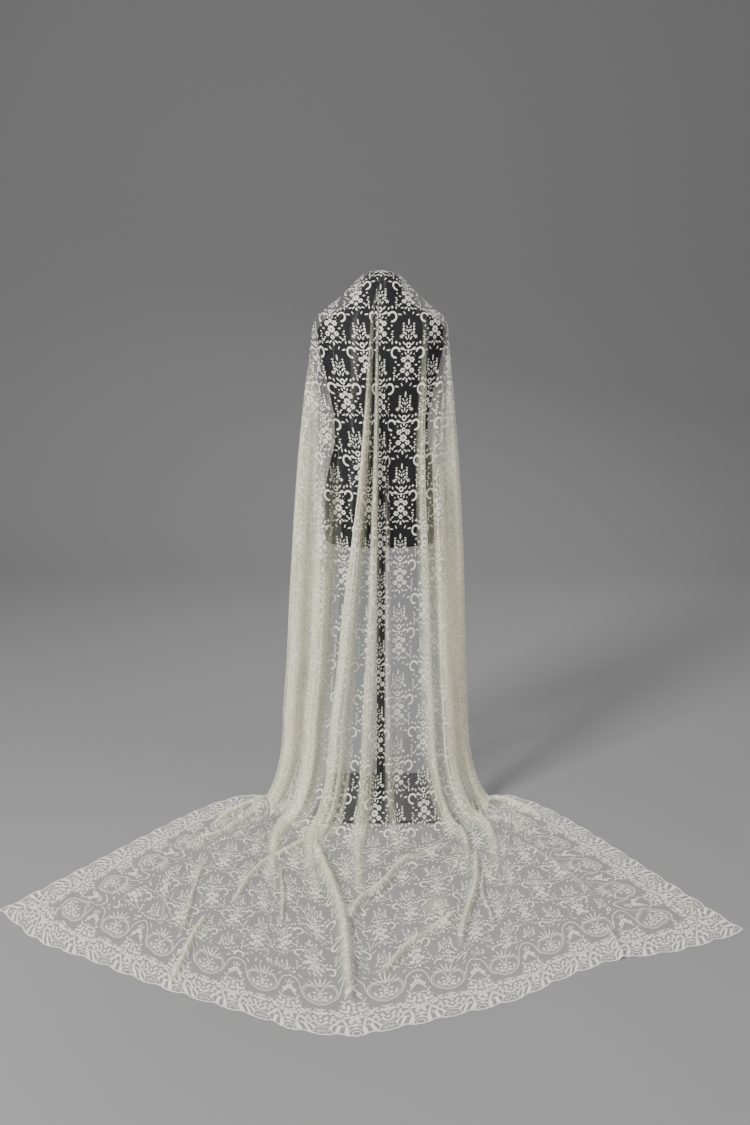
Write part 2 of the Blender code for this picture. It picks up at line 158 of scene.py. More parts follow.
# Pinched ridges that cross the train: height, half width, points on the floor
RIDGES = (
    (0.028, 0.0165,
     ((-0.190, -0.330), (-0.170, -0.414), (-0.125, -0.600), (-0.095, -0.770), (-0.072, -1.120))),
    (0.025, 0.0116,
     ((0.156, -0.354), (0.064, -0.432), (0.003, -0.562), (-0.062, -0.667), (-0.088, -0.760))),
    (0.019, 0.0094,
     ((0.180, -0.712), (0.137, -0.770), (0.073, -0.845), (0.012, -0.954), (-0.014, -0.999))),
    (0.023, 0.0116, ((0.205, -0.420), (0.164, -0.573), (0.134, -0.727))),
    (0.021, 0.0102,
     ((0.263, -0.390), (0.252, -0.540), (0.223, -0.682), (0.198, -0.789), (0.188, -0.872))),
    (0.011, 0.0058, ((0.274, -0.495), (0.265, -0.610), (0.275, -0.702), (0.284, -0.770))),
    (0.019, 0.0094,
     ((-0.208, -0.291), (-0.268, -0.366), (-0.330, -0.449), (-0.365, -0.562), (-0.387, -0.677))),
    (0.015, 0.0087,
     ((-0.371, -0.096), (-0.422, -0.179), (-0.480, -0.259), (-0.525, -0.291), (-0.567, -0.384))),
    (0.013, 0.0073, ((-0.493, -0.449), (-0.497, -0.615), (-0.495, -0.742), (-0.499, -0.826))),
    (0.009, 0.0065, ((-0.575, -0.529), (-0.560, -0.657), (-0.549, -0.766))),
    (0.018, 0.0087, ((-0.447, -0.727), (-0.464, -0.826), (-0.472, -0.915), (-0.489, -1.031))),
    (0.012, 0.0065, ((-0.275, -0.484), (-0.257, -0.636), (-0.251, -0.780))),
    (0.009, 0.0065, ((-0.366, -0.813), (-0.298, -0.799))),
    (0.013, 0.0073, ((0.560, -0.780), (0.566, -0.850), (0.572, -0.925))),
    (0.009, 0.0087, ((0.420, -0.330), (0.500, -0.470), (0.560, -0.620))),
    (0.020, 0.0112, ((-0.350, -0.010), (-0.395, -0.048), (-0.452, -0.118), (-0.500, -0.205))),
    (0.019, 0.0112, ((0.345, -0.010), (0.395, -0.040), (0.448, -0.105), (0.480, -0.160))),
    (0.010, 0.0073, ((0.330, -0.130), (0.400, -0.190), (0.455, -0.270))),
)
SCALLOP_PITCH = 0.076
SCALLOP_DEPTH = 0.010
BORDER_LEAST = 0.012
REPEAT = 2 * SCALLOP_PITCH
BORDER_DEEP = 0.222
STREAK = 2.2

# How the tubes turn into floor ridges, in shares of the train
TUBE_DIES = 0.16
PINCH_DIES = 0.12
RIDGE_SPREAD = 0.045
RIDGE_SHARPER = 2.0
RIDGE_SHARP_AT = 0.22

# Fine creases: size, and their share at heights
RIPPLE = 0.0011
RIPPLE_HEIGHTS = (0.00, 0.30, 1.25, 1.44, 1.60)
RIPPLE_SHARES = (0.60, 1.00, 0.80, 0.30, 0.00)
FRONT_RIPPLE = 8.0
DRAG = 2.2
DRAG_FADE = 1.5

# Foot of the fall and way of the train's columns, with more swing toward the sides
FOOT_START = 0.52
LEAST_GROW = 0.01
LEAD_OUT = 0.10
SIDE_LEAD_OUT = 0.07
LEAD_IN = 0.42
SIDE_LEAD_IN = 0.18
SIDE_SWING = 0.06
EDGE_EASE = 6.0

# Pinched ridges: points on each line, ease at the ends, roundness, gathering, smoothing
RIDGE_POINTS = 40
RIDGE_LEAD = 0.12
RIDGE_TAPER = 5.0
RIDGE_ROUND = 2.4
RIDGE_GATHER = 0.9
GATHER_PER_HEIGHT = 50
RIDGE_CEILING = 0.12
RIDGE_LEAST = 0.0008
RIDGE_SOFTENINGS = 2
FAR = 9.0

# Gathers of the back and of the front
CREST_SPREAD = 0.6
CREST_NARROWER = 3.0
SIDE_TUBES = (0, 7)
SIDE_TUBE_GATHER = 0.35
GATHER_FADE = 0.42
CROWN_CLEAR = 0.03
FRONT_GATHER_HEIGHTS = (0.55, 1.25, 1.44, 1.52)
FRONT_GATHERS = (0.45, 0.35, 0.12, 0.00)
FRONT_HANG = 0.6
FRONT_PLEAT_START = 500.0

# Rows of the sheet from crown to hem
CROWN_DIP = 0.055
CROWN_ROWS = 12
YOKE_ROWS = 14
FALL_ROWS = 33
LOW_ROWS = 9
TURN_ROWS = 19
TRAIN_ROWS = 96
SCALLOP_EASE = 0.06
SCALLOP_ROWS = 10.0
HALF_SLANT = 1.3
HANG_START = 0.004
HANG_RISE = 0.030
HANG_ROWS = 7.0
WELD = 2e-6
SMALL_LOBE = 0.0022

FIELD_WIDE = 0.083
FIELD_TALL = 0.200
NET_COVER = 0.025
TRAIN_COVER = 0.20

# Leaves of the field on the right of its mirror line: across, along, half width, half length, tilt
FIELD_LEAVES = (
    (0.0000, -0.0790, 0.0022, 0.0088, 0.0),
    (0.0052, -0.0935, 0.0015, 0.0047, -32.0),
    (0.0070, 0.0985, 0.0017, 0.0054, -34.0),
    (0.0000, 0.0965, 0.0018, 0.0059, 0.0),
    (0.0092, 0.0885, 0.0018, 0.0061, -38.0),
    (0.0000, 0.0800, 0.0016, 0.0063, 0.0),
    (0.0068, 0.0755, 0.0019, 0.0058, -30.0),
    (0.0205, 0.0800, 0.0012, 0.0063, -15.0),
    (0.0205, 0.0800, 0.0012, 0.0063, 48.0),
    (0.0205, 0.0800, 0.0012, 0.0063, -78.0),
    (0.0125, 0.0610, 0.0020, 0.0065, -42.0),
    (0.0155, 0.0475, 0.0022, 0.0067, -58.0),
    (0.0250, 0.0600, 0.0021, 0.0045, -20.0),
    (0.0195, 0.0330, 0.0019, 0.0045, -62.0),
    (0.0350, 0.0640, 0.0043, 0.0018, 0.0),
    (0.0350, 0.0640, 0.0016, 0.0049, 0.0),
    (0.0000, 0.0395, 0.0024, 0.0063, 0.0),
    (0.0345, 0.0100, 0.0032, 0.0013, 0.0),
    (0.0345, 0.0100, 0.0011, 0.0036, 0.0),
    (0.0000, -0.0405, 0.0025, 0.0059, 0.0),
    (0.0085, -0.0355, 0.0020, 0.0063, 48.0),
    (0.0190, -0.0360, 0.0018, 0.0056, 72.0),
    (0.0280, -0.0570, 0.0075, 0.0023, 8.0),
    (0.0385, -0.0610, 0.0029, 0.0029, 0.0),
    (0.0400, -0.0740, 0.0018, 0.0050, 10.0),
    (0.0290, -0.0300, 0.0024, 0.0032, 0.0),
    (0.0255, 0.0020, 0.0042, 0.0022, 0.0),
    (0.0240, 0.0280, 0.0019, 0.0045, -50.0),
    (0.0240, -0.0240, 0.0019, 0.0045, 50.0),
    (0.0080, 0.0340, 0.0019, 0.0045, -25.0),
    (0.0372, -0.0060, 0.0031, 0.0020, 20.0),
    (0.0350, -0.0135, 0.0031, 0.0021, -20.0),
    (0.0378, -0.0205, 0.0030, 0.0020, 20.0),
    (0.0352, -0.0275, 0.0029, 0.0020, -20.0),
    (0.0366, -0.0365, 0.0017, 0.0052, 0.0),
    (0.0130, -0.0520, 0.0017, 0.0052, -28.0),
)

# Flowers of the field: centre, radius, petals
FIELD_FLOWERS = (
    ((0.0000, 0.0000), 0.0112, 8),
    ((0.0125, 0.0165), 0.0082, 6),
    ((0.0135, -0.0130), 0.0078, 6),
    ((0.0000, 0.0235), 0.0068, 6),
    ((0.0000, -0.0225), 0.0064, 5),
)

# Leaves of the border: across from the repeat's middle, depth in from the edge, and as above
BORDER_LEAVES = (
    (0.0000, 0.0170, 0.0012, 0.0062, 0.0),
    (0.0062, 0.0155, 0.0012, 0.0060, -26.0),
    (0.0113, 0.0115, 0.0012, 0.0056, -54.0),
    (0.0000, 0.1960, 0.0019, 0.0190, 0.0),
    (0.0090, 0.1960, 0.0018, 0.0185, -20.0),
    (0.0180, 0.1900, 0.0017, 0.0165, -42.0),
    (0.0250, 0.1800, 0.0016, 0.0130, -66.0),
    (0.0065, 0.1680, 0.0016, 0.0090, -30.0),
    (0.0530, 0.1210, 0.0019, 0.0095, 40.0),
    (0.0600, 0.1360, 0.0017, 0.0095, -30.0),
    (0.0760, 0.1830, 0.0020, 0.0085, 0.0),
    (0.0690, 0.1790, 0.0016, 0.0075, 30.0),
    (0.0650, 0.1560, 0.0016, 0.0070, -52.0),
    (0.0480, 0.2060, 0.0017, 0.0085, -40.0),
    (0.0700, 0.0640, 0.0019, 0.0085, -30.0),
    (0.0480, 0.0600, 0.0019, 0.0100, 48.0),
)

# Rings of the border: across in half repeats, depth, radii, half width of the thread
BORDER_RINGS = (
    (0.0, 0.004, (0.0225, 0.0250), 0.0010),
    (1.0, 0.006, (0.0170, 0.0200), 0.0010),
    (1.0, 0.006, (0.0095, 0.0115), 0.0010),
    (0.0, 0.150, (0.0385, 0.0360), 0.0006),
)

# Clusters of small flowers: across in half repeats, depth, radii
BORDER_CLUSTERS = (
    (0.0, 0.140, (0.0290, 0.0200)),
    (1.0, 0.096, (0.0330, 0.0240)),
)

# Curls, ladder, ring and arm of the field: centres, radii, half widths of the thread
CURL = (0.0360, 0.0360)
LOW_CURL = (0.0470, -0.0640)
CURL_RADII = (0.0110, 0.0135)
CURL_CLEAR = (0.0165, 0.0190)
CURL_THREAD = 0.0024
CURL_MOUTH = ((0.0262, 0.0285), (0.0085, 0.0090))
FIELD_RING = ((0.0, 0.056), (0.0052, 0.0060), 0.0019)
ARM = (0.0150, 0.0445, 0.0015, 0.0165, -77.6)
LADDER_ACROSS = 0.0150
LADDER_MIDDLE = 0.098
LADDER_HALF = 0.0165
LADDER_STEP = 0.0072
LADDER_LEAF = (0.0032, 0.0023)
LADDER_TILT = 24
FLOWER_LOBE = 0.34
FLOWER_HEART = 0.68
EYE_START = 1.9
EYE_EDGE = 3.6

# Feathers, fans, ovals, arches and flowers of the border
FEATHER_STEP = 0.0108
FEATHER_HALF = 0.0024
FEATHER_MIDDLE = 0.0175
FEATHER_REACH = 0.0130
FEATHER_LEAN = 5.5
FEATHER_UPRIGHT = 0.10
FAN_CLEARS = (
    (0.0, 0.004, (0.0235, 0.0270)),
    (1.0, 0.006, (0.0180, 0.0215)),
)
HEM_THREAD = 0.0018
OVAL = ((0.0, 0.150), (0.0435, 0.0410), 0.0011)
OVAL_MOUTH = ((0.0, 0.198), (0.0260, 0.0180))
BAND_MIDDLE = 0.0600
BAND_HALF = 0.0290
BAND_WAVE = 0.004
BLOSSOM = 0.0098
BLOSSOM_LOOSENESS = 0.90
BLOSSOM_PETALS = 5
BLOSSOM_LOBE = 0.17
BLOSSOM_HEART = 0.30
BLOSSOM_EYE = 0.11
ARCH = (0.155, (0.0285, 0.0520), 0.0010)
ARCH_MOUTH = (0.115, (0.0400, 0.0560))
BORDER_FLOWERS = (
    (0.0000, 0.161, 0.0098, 6),
    (0.0125, 0.148, 0.0072, 5),
)

# Colours: one layer of net, gathered net, painted shade in the grooves of the gathers, yarn, jersey,
# paint, paper
NET_COLOUR = (0.520, 0.525, 0.480, 1.0)
GATHER_COLOUR = (0.850, 0.800, 0.600, 1.0)
GROOVE_SHADE_COLOUR = (0.600, 0.530, 0.340, 1.0)
YARN_COLOUR = (0.920, 0.900, 0.800, 1.0)
JERSEY_DARK = (0.0055, 0.0065, 0.0085, 1.0)
JERSEY_LIGHT = (0.0120, 0.0140, 0.0185, 1.0)
PAINT_COLOUR = (0.010, 0.010, 0.011, 1.0)
PAPER_COLOUR = (0.235, 0.235, 0.240, 1.0)

# Weave: scales of its noises, pull of the pattern on the floor, edge of the thread, cover
CLOUD_SCALE = 6.0
GRAIN_SCALE = 240.0
LAYER_SCALE = 120.0
FLOOR_PULL = 0.05
THREAD_SIZE = 1.12
THREAD_THINNER = 0.08
THREAD_EDGE = 6.0
CLOUD_COVER = 0.16
GATHER_COVER = 0.70
LAYER_COVER = 0.24
YARN_COVER = 0.70
YARN_GRAIN = 0.34
NET_GRAIN = 0.05

# Gathers in the material: streaks, creases, layers of lace over each other, painted shade in the grooves
STREAK_DROP = 1.3
STREAK_SHARE = 1.6
GRAIN_SHARE = 0.6
CROWD_START = 0.88
CREASE_START = 0.62
CREASE_EDGE = 5.0
CREASE_COVER = 0.25
LAYER_START = 0.42
LAYER_EDGE = 4.5
LAYER_YARN = 0.55
GROOVE_SHADE_START = 0.56
GROOVE_SHADE_EDGE = 2.6
YARN_FADE = 0.40
KNIT_SCALE = 260.0
PEEL_SCALE = 420.0

# Studio: paper 16 m wide that bends up behind, lights, sky
PAPER_WIDE = 16.0
PAPER_FRONT = -7.0
PAPER_FLAT = 10.0
PAPER_BEND = 1.6
PAPER_HIGH = 6.0
PAPER_BELOW = 0.0006
FLAT_SHARE = 0.5
BEND_SHARE = 0.2

# Lights: name, place, target, size, power, colour
LIGHTS = (
    ("key", (-2.6, -3.2, 3.4), (0.0, -0.3, 0.7), 1.1, 320.0, (1.0, 0.985, 0.955)),
    ("fill", (3.0, -2.6, 2.4), (0.0, -0.2, 0.7), 2.4, 55.0, (1.0, 0.965, 0.90)),
    ("back", (0.8, 2.8, 3.2), (0.0, 0.0, 0.9), 2.0, 70.0, (1.0, 1.0, 1.0)),
)
SKY_COLOUR = (0.80, 0.82, 0.85, 1.0)
SKY_STRENGTH = 0.38


def smooth_table(place, stops, values):
    """Monotone cubic through a table, so that no row shows a kink."""
    stops = np.asarray(stops, float)
    values = np.asarray(values, float)
    step = np.diff(stops)
    slope = np.diff(values) / step
    tangent = np.zeros_like(values)
    same = slope[1:] * slope[:-1] > 0
    tangent[1:-1][same] = 2 * slope[1:][same] * slope[:-1][same] / (slope[1:][same] + slope[:-1][same])
    tangent[0], tangent[-1] = slope[0], slope[-1]
    place = np.clip(np.asarray(place, float), stops[0], stops[-1])
    cell = np.clip(np.searchsorted(stops, place) - 1, 0, len(step) - 1)
    t = (place - stops[cell]) / step[cell]
    wide = step[cell]
    return ((1 + 2 * t) * (1 - t) ** 2 * values[cell] + t * (1 - t) ** 2 * wide * tangent[cell]
            + t ** 2 * (3 - 2 * t) * values[cell + 1] + t ** 2 * (t - 1) * wide * tangent[cell + 1])


def loop_point(degrees, height):
    """Plan position on the base loop; 0 degrees is the centre back."""
    centre, wide, behind, front = (smooth_table(height, LOOP[:, 0], column) for column in LOOP[:, 1:].T)
    turn = np.radians(degrees)
    depth = np.where(np.cos(turn) >= 0, behind, front)
    return np.stack((centre + wide * np.sin(turn), -depth * np.cos(turn)), -1)


def hem_point(share):
    """Plan position on the train's hem at a share of its length."""
    steps = np.linalg.norm(np.diff(HEM, axis=0), axis=1)
    run = np.concatenate(((0.0,), np.cumsum(steps)))
    run /= run[-1]
    return np.stack([smooth_table(share, run, HEM[:, axis]) for axis in (0, 1)], -1)


def spread_out(knots, least):
    """Push knots apart from the middle outward so that none lie closer than the least step."""
    knots = list(knots)
    middle = len(knots) // 2
    for index in range(middle + 1, len(knots) - 1):
        knots[index] = max(knots[index], knots[index - 1] + least)
    for index in range(middle - 1, 0, -1):
        knots[index] = min(knots[index], knots[index + 1] - least)
    return knots


def back_columns():
    """Column stations of the back: a unit for each fold and each flat between folds."""
    stations = []
    for index, fold in enumerate(FOLDS):
        stations.extend(2 * index + np.arange(FLAT_COLUMNS[index]) / FLAT_COLUMNS[index])
        stations.extend(2 * index + 1 + np.arange(fold.columns) / fold.columns)
    last = 2 * len(FOLDS)
    stations.extend(last + np.arange(FLAT_COLUMNS[-1] + 1) / FLAT_COLUMNS[-1])
    return np.array(stations)


def column_angle(column, height):
    """Angle on the base loop of a column at a height."""
    knots = [-SIDE_EDGE]
    for fold in FOLDS:
        knots.append(float(smooth_table(height, LEVELS, fold.starts)))
        knots.append(float(smooth_table(height, LEVELS, fold.ends)))
    knots.append(SIDE_EDGE)
    return np.interp(column, np.arange(len(knots)), spread_out(knots, LEAST_TURN))


def column_hem(column):
    """Share of the hem that a column runs to."""
    knots = [0.0]
    for fold in FOLDS:
        knots.extend((fold.hem_from, fold.hem_to))
    knots.append(1.0)
    return np.interp(column, np.arange(len(knots)), spread_out(knots, LEAST_HEM))


def inside_fold(column, index):
    """How far each column is through a fold, from 0 to 1."""
    return np.clip(column - (2 * index + 1), 0.0, 1.0)


def fold_wave(column, floor_share, pleats=None):
    """Shift along the row and rise off the base sheet of every column."""
    shift = np.zeros_like(column)
    rise = np.zeros_like(column)
    for index, fold in enumerate(FOLDS):
        height, pinch = fold.height, fold.pinch
        if pleats is not None and index in PLEATS:
            height, pinch = height * pleats, pinch * pleats
        phase = 2 * math.pi * inside_fold(column, index)
        power = 1.0
        if floor_share is not None:
            fade = max(0.0, 1.0 - (floor_share / fold.reach) ** 2)
            tube = max(0.0, 1.0 - floor_share / TUBE_DIES)
            height = fold.ridge * fade + (height * FOOT_GROW - fold.ridge) * tube
            pinch *= max(0.0, 1.0 - floor_share / PINCH_DIES) * FOOT_GROW
            spread = (fold.hem_to - fold.hem_from) / RIDGE_SPREAD
            power = 1.0 + RIDGE_SHARPER * min(1.0, floor_share / RIDGE_SHARP_AT)
            power += max(0.0, spread ** 1.6 - 1.0) * floor_share ** 0.8
        rise += height * ((1 - np.cos(phase)) / 2) ** power
        shift += pinch / (4 * math.pi) * np.sin(2 * phase)
    return shift, rise


def ripple(column, height):
    """Fine creases of the soft net, a millimetre or two, slowly wandering down the drop."""
    wander = 0.10 * np.sin(3.1 * height + 1.3)
    fine = np.sin(9.7 * (column + wander)) + 0.6 * np.sin(17.3 * (column - 0.7 * wander) + 1.1)
    return RIPPLE * fine * np.interp(height, RIPPLE_HEIGHTS, RIPPLE_SHARES)


def lift_off(angle, height, amount, turned=0.0):
    """Plan point on the loop, moved outward by an amount; turned leads over to the foot's way."""
    plan = loop_point(angle, height)
    along = loop_point(angle + 0.5, height) - loop_point(angle - 0.5, height)
    along /= np.maximum(np.linalg.norm(along, axis=-1, keepdims=True), 1e-9)
    outward = np.stack((along[..., 1], -along[..., 0]), -1) * (1 - turned) + foot_direction(angle) * turned
    return plan + outward * amount[..., None]


def fall_row(column, height):
    """Row of the back at a height above the floor turn."""
    grow = max(LEAST_GROW, float(smooth_table(height, GROW_HEIGHT, GROW_SHARE)))
    pleat = float(smooth_table(height, GROW_HEIGHT, PLEAT_SHARE))
    shift, rise = fold_wave(column, None, pleat / grow)
    angle = column_angle(column + shift * grow, height)
    turned = np.clip((FOOT_START - height) / (FOOT_START - TURN_HEIGHT), 0.0, 1.0)
    turned = turned ** 2 * (3 - 2 * turned)
    plan = lift_off(angle, height, rise * grow + ripple(column, height), turned)
    return np.column_stack((plan, np.full(len(column), height)))


def foot_direction(angle):
    """Plan direction in which a column leaves the stand at the floor."""
    turn = np.radians(angle)
    return np.stack((np.sin(turn), -np.cos(turn)), -1)


def turn_row(column, degrees):
    """Row in the hollow quarter turn between the fall and the floor."""
    share = degrees / 90.0
    top_grow = float(smooth_table(TURN_HEIGHT, GROW_HEIGHT, GROW_SHARE))
    grow = top_grow + (FOOT_GROW - top_grow) * share ** 2
    shift, rise = fold_wave(column, None)
    angle = column_angle(column + shift * grow, TURN_HEIGHT * (1 - share))
    bend = math.radians(degrees)
    away = foot_direction(angle)
    plan = loop_point(angle, TURN_HEIGHT) + away * TURN_REACH * (1 - math.cos(bend))
    height = TURN_HEIGHT * (1 - math.sin(bend))
    base = np.column_stack((plan, np.full(len(column), height)))
    flat, steep = math.sin(bend) * TURN_REACH, math.cos(bend) * TURN_HEIGHT
    size = math.hypot(flat, steep)
    up = np.column_stack((away * steep / size, np.full(len(column), flat / size)))
    return base + up * (rise * grow + ripple(column, height) * (1 - share))[:, None]


def floor_row(column, share):
    """Row of the train, from the foot of the fall (0) to the hem (1)."""
    shift, rise = fold_wave(column, share)
    place = column + shift
    angle = column_angle(place, 0.0)
    away = foot_direction(angle)
    foot = loop_point(angle, TURN_HEIGHT) + away * TURN_REACH
    hem = hem_point(column_hem(place))
    side = (np.abs(angle) / SIDE_EDGE)[:, None] ** 4
    first = foot + away * (LEAD_OUT + SIDE_LEAD_OUT * side)
    second = hem + (foot - hem) * (LEAD_IN + SIDE_LEAD_IN * side) + away * SIDE_SWING * side
    left = 1 - share
    plan = left ** 3 * foot + 3 * left ** 2 * share * first + 3 * left * share ** 2 * second
    drag = np.maximum(0.0, ripple(column, TURN_HEIGHT) * DRAG) * left ** DRAG_FADE
    return np.column_stack((plan + share ** 3 * hem, rise + drag))


def front_wave(angle):
    """Shift and rise of the side and front folds."""
    shift = np.zeros_like(angle)
    rise = np.zeros_like(angle)
    for start, end, height, pinch in FRONT_FOLDS:
        phase = 2 * math.pi * np.clip((angle - start) / (end - start), 0.0, 1.0)
        rise += height * (1 - np.cos(phase)) / 2
        shift += pinch * (end - start) / (4 * math.pi) * np.sin(2 * phase)
    return shift, rise


def front_row(angle, height):
    """Row of the sides and front; height is one value for each column."""
    shift, rise = front_wave(angle)
    grow = smooth_table(height, GROW_HEIGHT, GROW_SHARE)
    edge = np.clip(np.minimum(angle - SIDE_EDGE, 360.0 - SIDE_EDGE - angle) / EDGE_EASE, 0.0, 1.0)
    fine = ripple(angle / FRONT_RIPPLE, height) * edge
    return np.column_stack((lift_off(angle + shift * grow, height, rise * grow + fine), height))


def ridge_line(points):
    """Even points along a smooth line through a ridge's own points."""
    points = np.array(points)
    run = np.concatenate(((0.0,), np.cumsum(np.linalg.norm(np.diff(points, axis=0), axis=1))))
    places = np.linspace(0.0, run[-1], RIDGE_POINTS)
    return np.stack([smooth_table(places, run, points[:, axis]) for axis in (0, 1)], -1)


def ridge_crests(plan):
    """Height and gathering that the pinched ridges give to places on the floor."""
    rise = np.zeros(len(plan))
    gather = np.zeros(len(plan))
    for height, half, points in RIDGES:
        line = ridge_line(points)
        away = np.full(len(plan), FAR)
        along = np.zeros(len(plan))
        for index, point in enumerate(line):
            reach = np.hypot(plan[:, 0] - point[0], plan[:, 1] - point[1])
            near = reach < away
            away[near] = reach[near]
            along[near] = index / (len(line) - 1)
        swell = np.clip(np.minimum(along + RIDGE_LEAD, 1.0 - along) * RIDGE_TAPER, 0.0, 1.0) ** 0.5
        away /= half * (1.0 + swell) / 2
        rise = np.maximum(rise, height * swell * np.exp(-away ** RIDGE_ROUND))
        most = min(RIDGE_GATHER, GATHER_PER_HEIGHT * height)
        gather = np.maximum(gather, most * swell * np.exp(-(away / 1.1) ** RIDGE_ROUND))
    return rise, gather


def raise_ridges(work, gathers):
    """Make the train's mesh finer round each ridge, then lift it along the ridge's crest."""
    wide = np.array([(vert.co.x, vert.co.y) for vert in work.verts])
    low = np.array([vert.co.z for vert in work.verts]) < RIDGE_CEILING
    near = low & (ridge_crests(wide)[0] > RIDGE_LEAST)
    work.verts.index_update()
    edges = [edge for edge in work.edges if near[edge.verts[0].index] and near[edge.verts[1].index]]
    bmesh.ops.subdivide_edges(work, edges=edges, cuts=1, use_grid_fill=True)
    work.verts.index_update()
    place = np.array([tuple(vert.co) for vert in work.verts])
    rise, gather = ridge_crests(place[:, :2])
    gather *= place[:, 2] < RIDGE_CEILING
    for vert in work.verts:
        if place[vert.index, 2] < RIDGE_CEILING:
            vert.co.z = max(vert.co.z, rise[vert.index])
            for loop in vert.link_loops:
                loop[gathers].uv.x = max(loop[gathers].uv.x, gather[vert.index])
    crests = [vert for vert in work.verts if rise[vert.index] > RIDGE_LEAST and vert.co.z < RIDGE_CEILING]
    for _ in range(RIDGE_SOFTENINGS):
        bmesh.ops.smooth_vert(work, verts=crests, factor=0.5, use_axis_z=True)


def fold_gathers(column, height):
    """How gathered the net is in every fold at a height, 0 to 1."""
    gather = np.zeros_like(column)
    for index, fold in enumerate(FOLDS):
        crest = np.sin(math.pi * inside_fold(column, index)) ** CREST_SPREAD
        set_in = min(max((fold.set_in - height) / GATHER_FADE, 0.0), 1.0)
        gather += fold.gather * crest * set_in ** 0.8
    return gather


def ridge_gathers(column, share):
    """How gathered the net is in every ridge at a share of the train."""
    gather = np.zeros_like(column)
    narrow = CREST_SPREAD + CREST_NARROWER * min(1.0, share / RIDGE_SHARP_AT)
    for index, fold in enumerate(FOLDS):
        crest = np.sin(math.pi * inside_fold(column, index)) ** narrow
        most = fold.gather * (SIDE_TUBE_GATHER if index in SIDE_TUBES else 1.0)
        gather += most * crest * max(0.0, 1.0 - (share / fold.reach) ** 3)
    return gather


def scallop(run):
    """Outward reach of the scalloped edge at a distance along it."""
    lobes = np.abs(np.cos(math.pi * run / SCALLOP_PITCH)) ** 0.7
    small = np.abs(np.cos(4 * math.pi * run / SCALLOP_PITCH))
    return BORDER_LEAST + SCALLOP_DEPTH * lobes + SMALL_LOBE * small


def back_sheet():
    """Rows of the back from crown to hem, and how gathered the net is."""
    column = back_columns()
    crown = CROWN - CROWN_DIP * (1 - np.cos(np.linspace(0, math.pi / 2, CROWN_ROWS)))
    yoke = np.linspace(crown[-1], SEAM_TOP, YOKE_ROWS)[1:]
    fall = np.linspace(SEAM_TOP, SLIT_TOP, FALL_ROWS)[1:]
    low = np.linspace(SLIT_TOP, TURN_HEIGHT, LOW_ROWS)[1:]
    heights = np.concatenate((crown, yoke, fall))
    rows = []
    gather = []
    for height in (*heights, *low):
        rows.append(fall_row(column, height))
        gather.append(fold_gathers(column, height) * min(1.0, (CROWN - height) / CROWN_CLEAR))
    for degrees in np.linspace(0, 90, TURN_ROWS)[1:]:
        rows.append(turn_row(column, degrees))
        gather.append(fold_gathers(column, 0.0))
    train_start = len(rows)
    for share in np.linspace(0.0, 1.0, TRAIN_ROWS)[1:]:
        rows.append(floor_row(column, share))
        gather.append(ridge_gathers(column, share))
    return np.array(rows), np.array(gather), len(heights), heights, train_start


def measures(rows, middle):
    """Distance across from a middle column and distance up from the last row."""
    across = np.concatenate((np.zeros((len(rows), 1)),
                             np.cumsum(np.linalg.norm(np.diff(rows, axis=1), axis=2), axis=1)), axis=1)
    across -= across[:, middle:middle + 1]
    down = np.linalg.norm(np.diff(rows, axis=0), axis=2)
    up = np.concatenate((np.cumsum(down[::-1], axis=0)[::-1], np.zeros((1, rows.shape[1]))), axis=0)
    return across, up


def edge_scallops(rows, across, up, train_start):
    """Push the hem and the side edges of the train out into scallops."""
    outward = rows[-1] - rows[-3]
    outward /= np.linalg.norm(outward, axis=1, keepdims=True)
    reach = scallop(across[-1])
    share = np.clip(1 - up / SCALLOP_EASE, 0, 1)
    rows += share[:, :, None] * (outward * reach[:, None])[None]
    ease = np.clip((np.arange(len(rows)) - train_start) / SCALLOP_ROWS, 0, 1)
    for edge, inner in ((0, 2), (-1, -3)):
        drive = rows[:, edge] - rows[:, inner]
        drive[:, 2] = 0
        drive /= np.maximum(np.linalg.norm(drive, axis=1, keepdims=True), 1e-9)
        reach = scallop(up[:, edge]) * ease
        share = np.clip(1 - np.abs(across - across[:, edge][:, None]) / SCALLOP_EASE, 0, 1)
        rows += share[:, :, None] * (drive * reach[:, None])[:, None, :]


def front_sheet(shared_heights):
    """Rows of the sides and front, down to their own hem."""
    angle = np.linspace(SIDE_EDGE, 360.0 - SIDE_EDGE, FRONT_COLUMNS)
    hem = smooth_table(angle, FRONT_HEM_ANGLE, FRONT_HEM_HEIGHT)
    rows = []
    for height in shared_heights:
        part = (SEAM_TOP - height) / (SEAM_TOP - SLIT_TOP)
        level = height if height >= SEAM_TOP else SEAM_TOP - (SEAM_TOP - hem) * part
        rows.append(front_row(angle, np.full(len(angle), 1.0) * level))
    return np.array(rows)


def lay_grid(work, rows, layers, names):
    """Add a grid to a bmesh, lay it on the rows and write its flat measures."""
    count_down, count_across = rows.shape[:2]
    made = bmesh.ops.create_grid(work, x_segments=count_across - 1, y_segments=count_down - 1, size=0.5)
    verts = sorted(made["verts"], key=lambda v: (round(-v.co.y, 6), round(v.co.x, 6)))
    place = {vert: divmod(index, count_across) for index, vert in enumerate(verts)}
    for vert, (down, across) in place.items():
        vert.co = rows[down, across]
    uv = [work.loops.layers.uv.get(name) or work.loops.layers.uv.new(name) for name in names]
    faces = {face for vert in made["verts"] for face in vert.link_faces}
    for face in faces:
        for loop in face.loops:
            down, across = place[loop.vert]
            for index, layer in enumerate(uv):
                loop[layer].uv = (layers[2 * index][down, across], layers[2 * index + 1][down, across])


